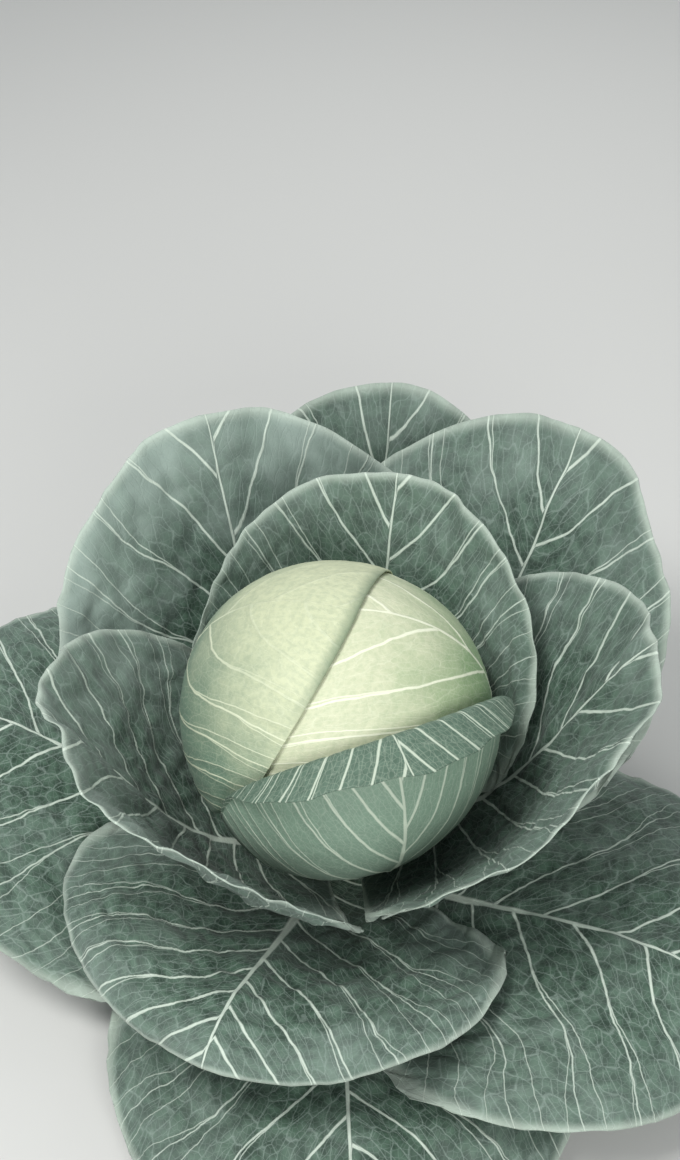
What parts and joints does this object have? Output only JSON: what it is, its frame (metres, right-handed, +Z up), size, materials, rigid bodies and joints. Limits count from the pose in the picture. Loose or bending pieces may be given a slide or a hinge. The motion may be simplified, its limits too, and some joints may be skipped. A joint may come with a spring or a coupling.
{
  "type": "white cabbage",
  "caption": "White cabbage cut with its wrapper leaves on: a round packed head on a short stump, cupped and ringed by broad veined leaves.",
  "frame": {"origin": "centre of the stump's flat cut face", "axes": "+Z up through the stump and the crown of the head; -Y towards the side with the folded head leaf"},
  "size_m": [0.6033, 0.6228, 0.286],
  "materials": {
    "stump": "matt, fibrous cut stem with leaf scars",
    "heart": "satin, pale green leaf",
    "head_leaf": "satin wax bloom, pale green leaf with cream veins",
    "loose_head_leaf": "satin wax bloom, mid green leaf with pale veins",
    "cup_leaf": "waxy blue-green leaf with pale veins",
    "outer_leaf": "waxy grey-green leaf with pale veins"
  },
  "bodies": {
    "root": {"stump": "stump", "heart": "heart", "head_leaf_under": "head_leaf", "head_leaf_right": "head_leaf", "head_leaf_left": "head_leaf", "head_leaf_front": "loose_head_leaf", "cup_leaf_back": "cup_leaf", "cup_leaf_right": "cup_leaf", "cup_leaf_left": "cup_leaf", "outer_leaf_back_left": "outer_leaf", "outer_leaf_back_right": "outer_leaf", "outer_leaf_front": "outer_leaf", "outer_leaf_left": "outer_leaf", "outer_leaf_front_right": "outer_leaf", "outer_leaf_back": "outer_leaf", "ground_leaf_front": "outer_leaf"}
  },
  "joints": []
}
